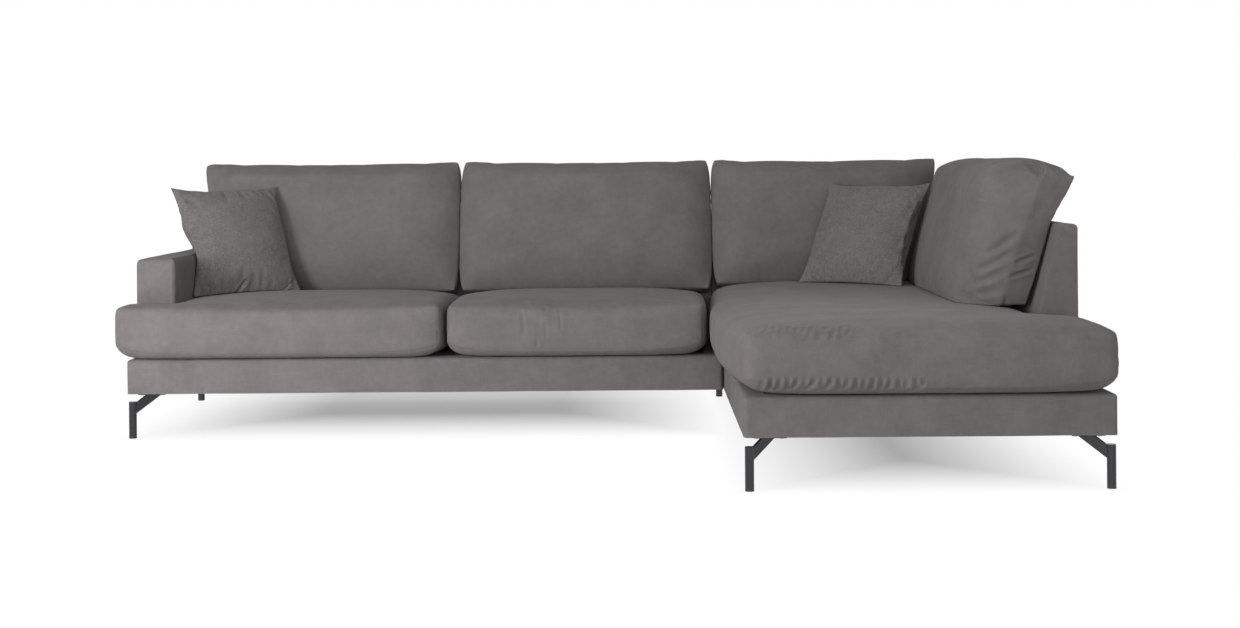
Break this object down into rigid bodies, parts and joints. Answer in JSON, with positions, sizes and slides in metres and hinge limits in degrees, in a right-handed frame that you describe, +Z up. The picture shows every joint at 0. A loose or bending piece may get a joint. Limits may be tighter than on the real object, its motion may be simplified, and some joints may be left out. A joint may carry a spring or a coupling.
{
  "type": "sofa.corner_chaise",
  "caption": "Grey fabric corner sofa with a low arm, a deep chaise, loose cushions and dark tube legs",
  "frame": {"origin": "on the floor, under the centre of the outline seen from above", "axes": "+X runs along the back to the sitter's left, the chaise's side, +Y to the rear, +Z up; the seats face -Y"},
  "size_m": [3.037, 2.0312, 0.8966],
  "materials": {
    "cover_fabric": "soft grey woven velour with fine slubs",
    "pillow_fabric": "the same grey with a coarser slub weave",
    "deck_fabric": "plain dark grey deck cloth",
    "dust_fabric": "thin black non-woven cloth",
    "padding": "cream polyester wadding and foam",
    "webbing": "woven elastic webbing",
    "timber": "sawn softwood",
    "leg_metal": "dark gunmetal, satin",
    "bright_steel": "zinc plated",
    "spring_steel": "oiled spring steel",
    "glide_plastic": "black",
    "clip_plastic": "white"
  },
  "bodies": {
    "frame": {"leg_tubes": "leg_metal", "leg_caps": "leg_metal", "leg_glides": "glide_plastic", "leg_bars": "leg_metal", "leg_plates": "leg_metal", "leg_screws": "bright_steel", "main_long_rails": "timber", "main_cross_rails": "timber", "main_corner_blocks": "timber", "main_springs": "spring_steel", "main_spring_clips": "clip_plastic", "main_deck_pad": "padding", "main_deck_cloth": "deck_fabric", "main_base_padding": "padding", "main_base_cover": "cover_fabric", "main_dust_cover": "dust_fabric", "chaise_long_rails": "timber", "chaise_cross_rails": "timber", "chaise_corner_blocks": "timber", "chaise_springs": "spring_steel", "chaise_spring_clips": "clip_plastic", "chaise_deck_pad": "padding", "chaise_deck_cloth": "deck_fabric", "chaise_base_padding": "padding", "chaise_base_cover": "cover_fabric", "chaise_dust_cover": "dust_fabric", "joining_plates": "bright_steel", "joining_screws": "bright_steel", "frame_bolts": "bright_steel", "frame_nuts": "bright_steel", "arm_frame": "timber", "arm_boards": "timber", "arm_padding": "padding", "arm_cover": "cover_fabric", "main_back_frame": "timber", "main_back_straps": "webbing", "main_back_padding": "padding", "main_back_cover": "cover_fabric", "chaise_back_frame": "timber", "chaise_back_straps": "webbing", "chaise_back_padding": "padding", "chaise_back_cover": "cover_fabric", "side_back_frame": "timber", "side_back_straps": "webbing", "side_back_padding": "padding", "side_back_cover": "cover_fabric"},
    "left_seat": {"seat_cushion_left": "cover_fabric"},
    "middle_seat": {"seat_cushion_middle": "cover_fabric"},
    "chaise_seat": {"seat_cushion_chaise": "cover_fabric"},
    "left_back": {"back_cushion_left": "cover_fabric"},
    "middle_back": {"back_cushion_middle": "cover_fabric"},
    "right_back": {"back_cushion_right": "cover_fabric"},
    "side_back": {"side_back_cushion": "cover_fabric"},
    "left_pillow": {"pillow_left": "pillow_fabric"},
    "right_pillow": {"pillow_right": "pillow_fabric"}
  },
  "joints": [
    {"name": "left_seat_pull", "type": "slide", "parent": "frame", "child": "left_seat", "axis": [0, -1, 0], "range_m": [0, 0.25]},
    {"name": "middle_seat_pull", "type": "slide", "parent": "frame", "child": "middle_seat", "axis": [0, -1, 0], "range_m": [0, 0.25]},
    {"name": "chaise_seat_pull", "type": "slide", "parent": "frame", "child": "chaise_seat", "axis": [0, -1, 0], "range_m": [0, 0.25]},
    {"name": "left_back_lift", "type": "slide", "parent": "frame", "child": "left_back", "axis": [0, 0.2431, 0.97], "range_m": [0, 0.25]},
    {"name": "middle_back_lift", "type": "slide", "parent": "frame", "child": "middle_back", "axis": [0, 0.2431, 0.97], "range_m": [0, 0.25]},
    {"name": "right_back_lift", "type": "slide", "parent": "frame", "child": "right_back", "axis": [0, 0.2431, 0.97], "range_m": [0, 0.25]},
    {"name": "side_back_lift", "type": "slide", "parent": "frame", "child": "side_back", "axis": [0.2431, 0, 0.97], "range_m": [0, 0.25]},
    {"name": "left_pillow_lift", "type": "slide", "parent": "frame", "child": "left_pillow", "axis": [0, 0, 1], "range_m": [0, 0.25]},
    {"name": "right_pillow_lift", "type": "slide", "parent": "frame", "child": "right_pillow", "axis": [0, 0, 1], "range_m": [0, 0.25]}
  ]
}
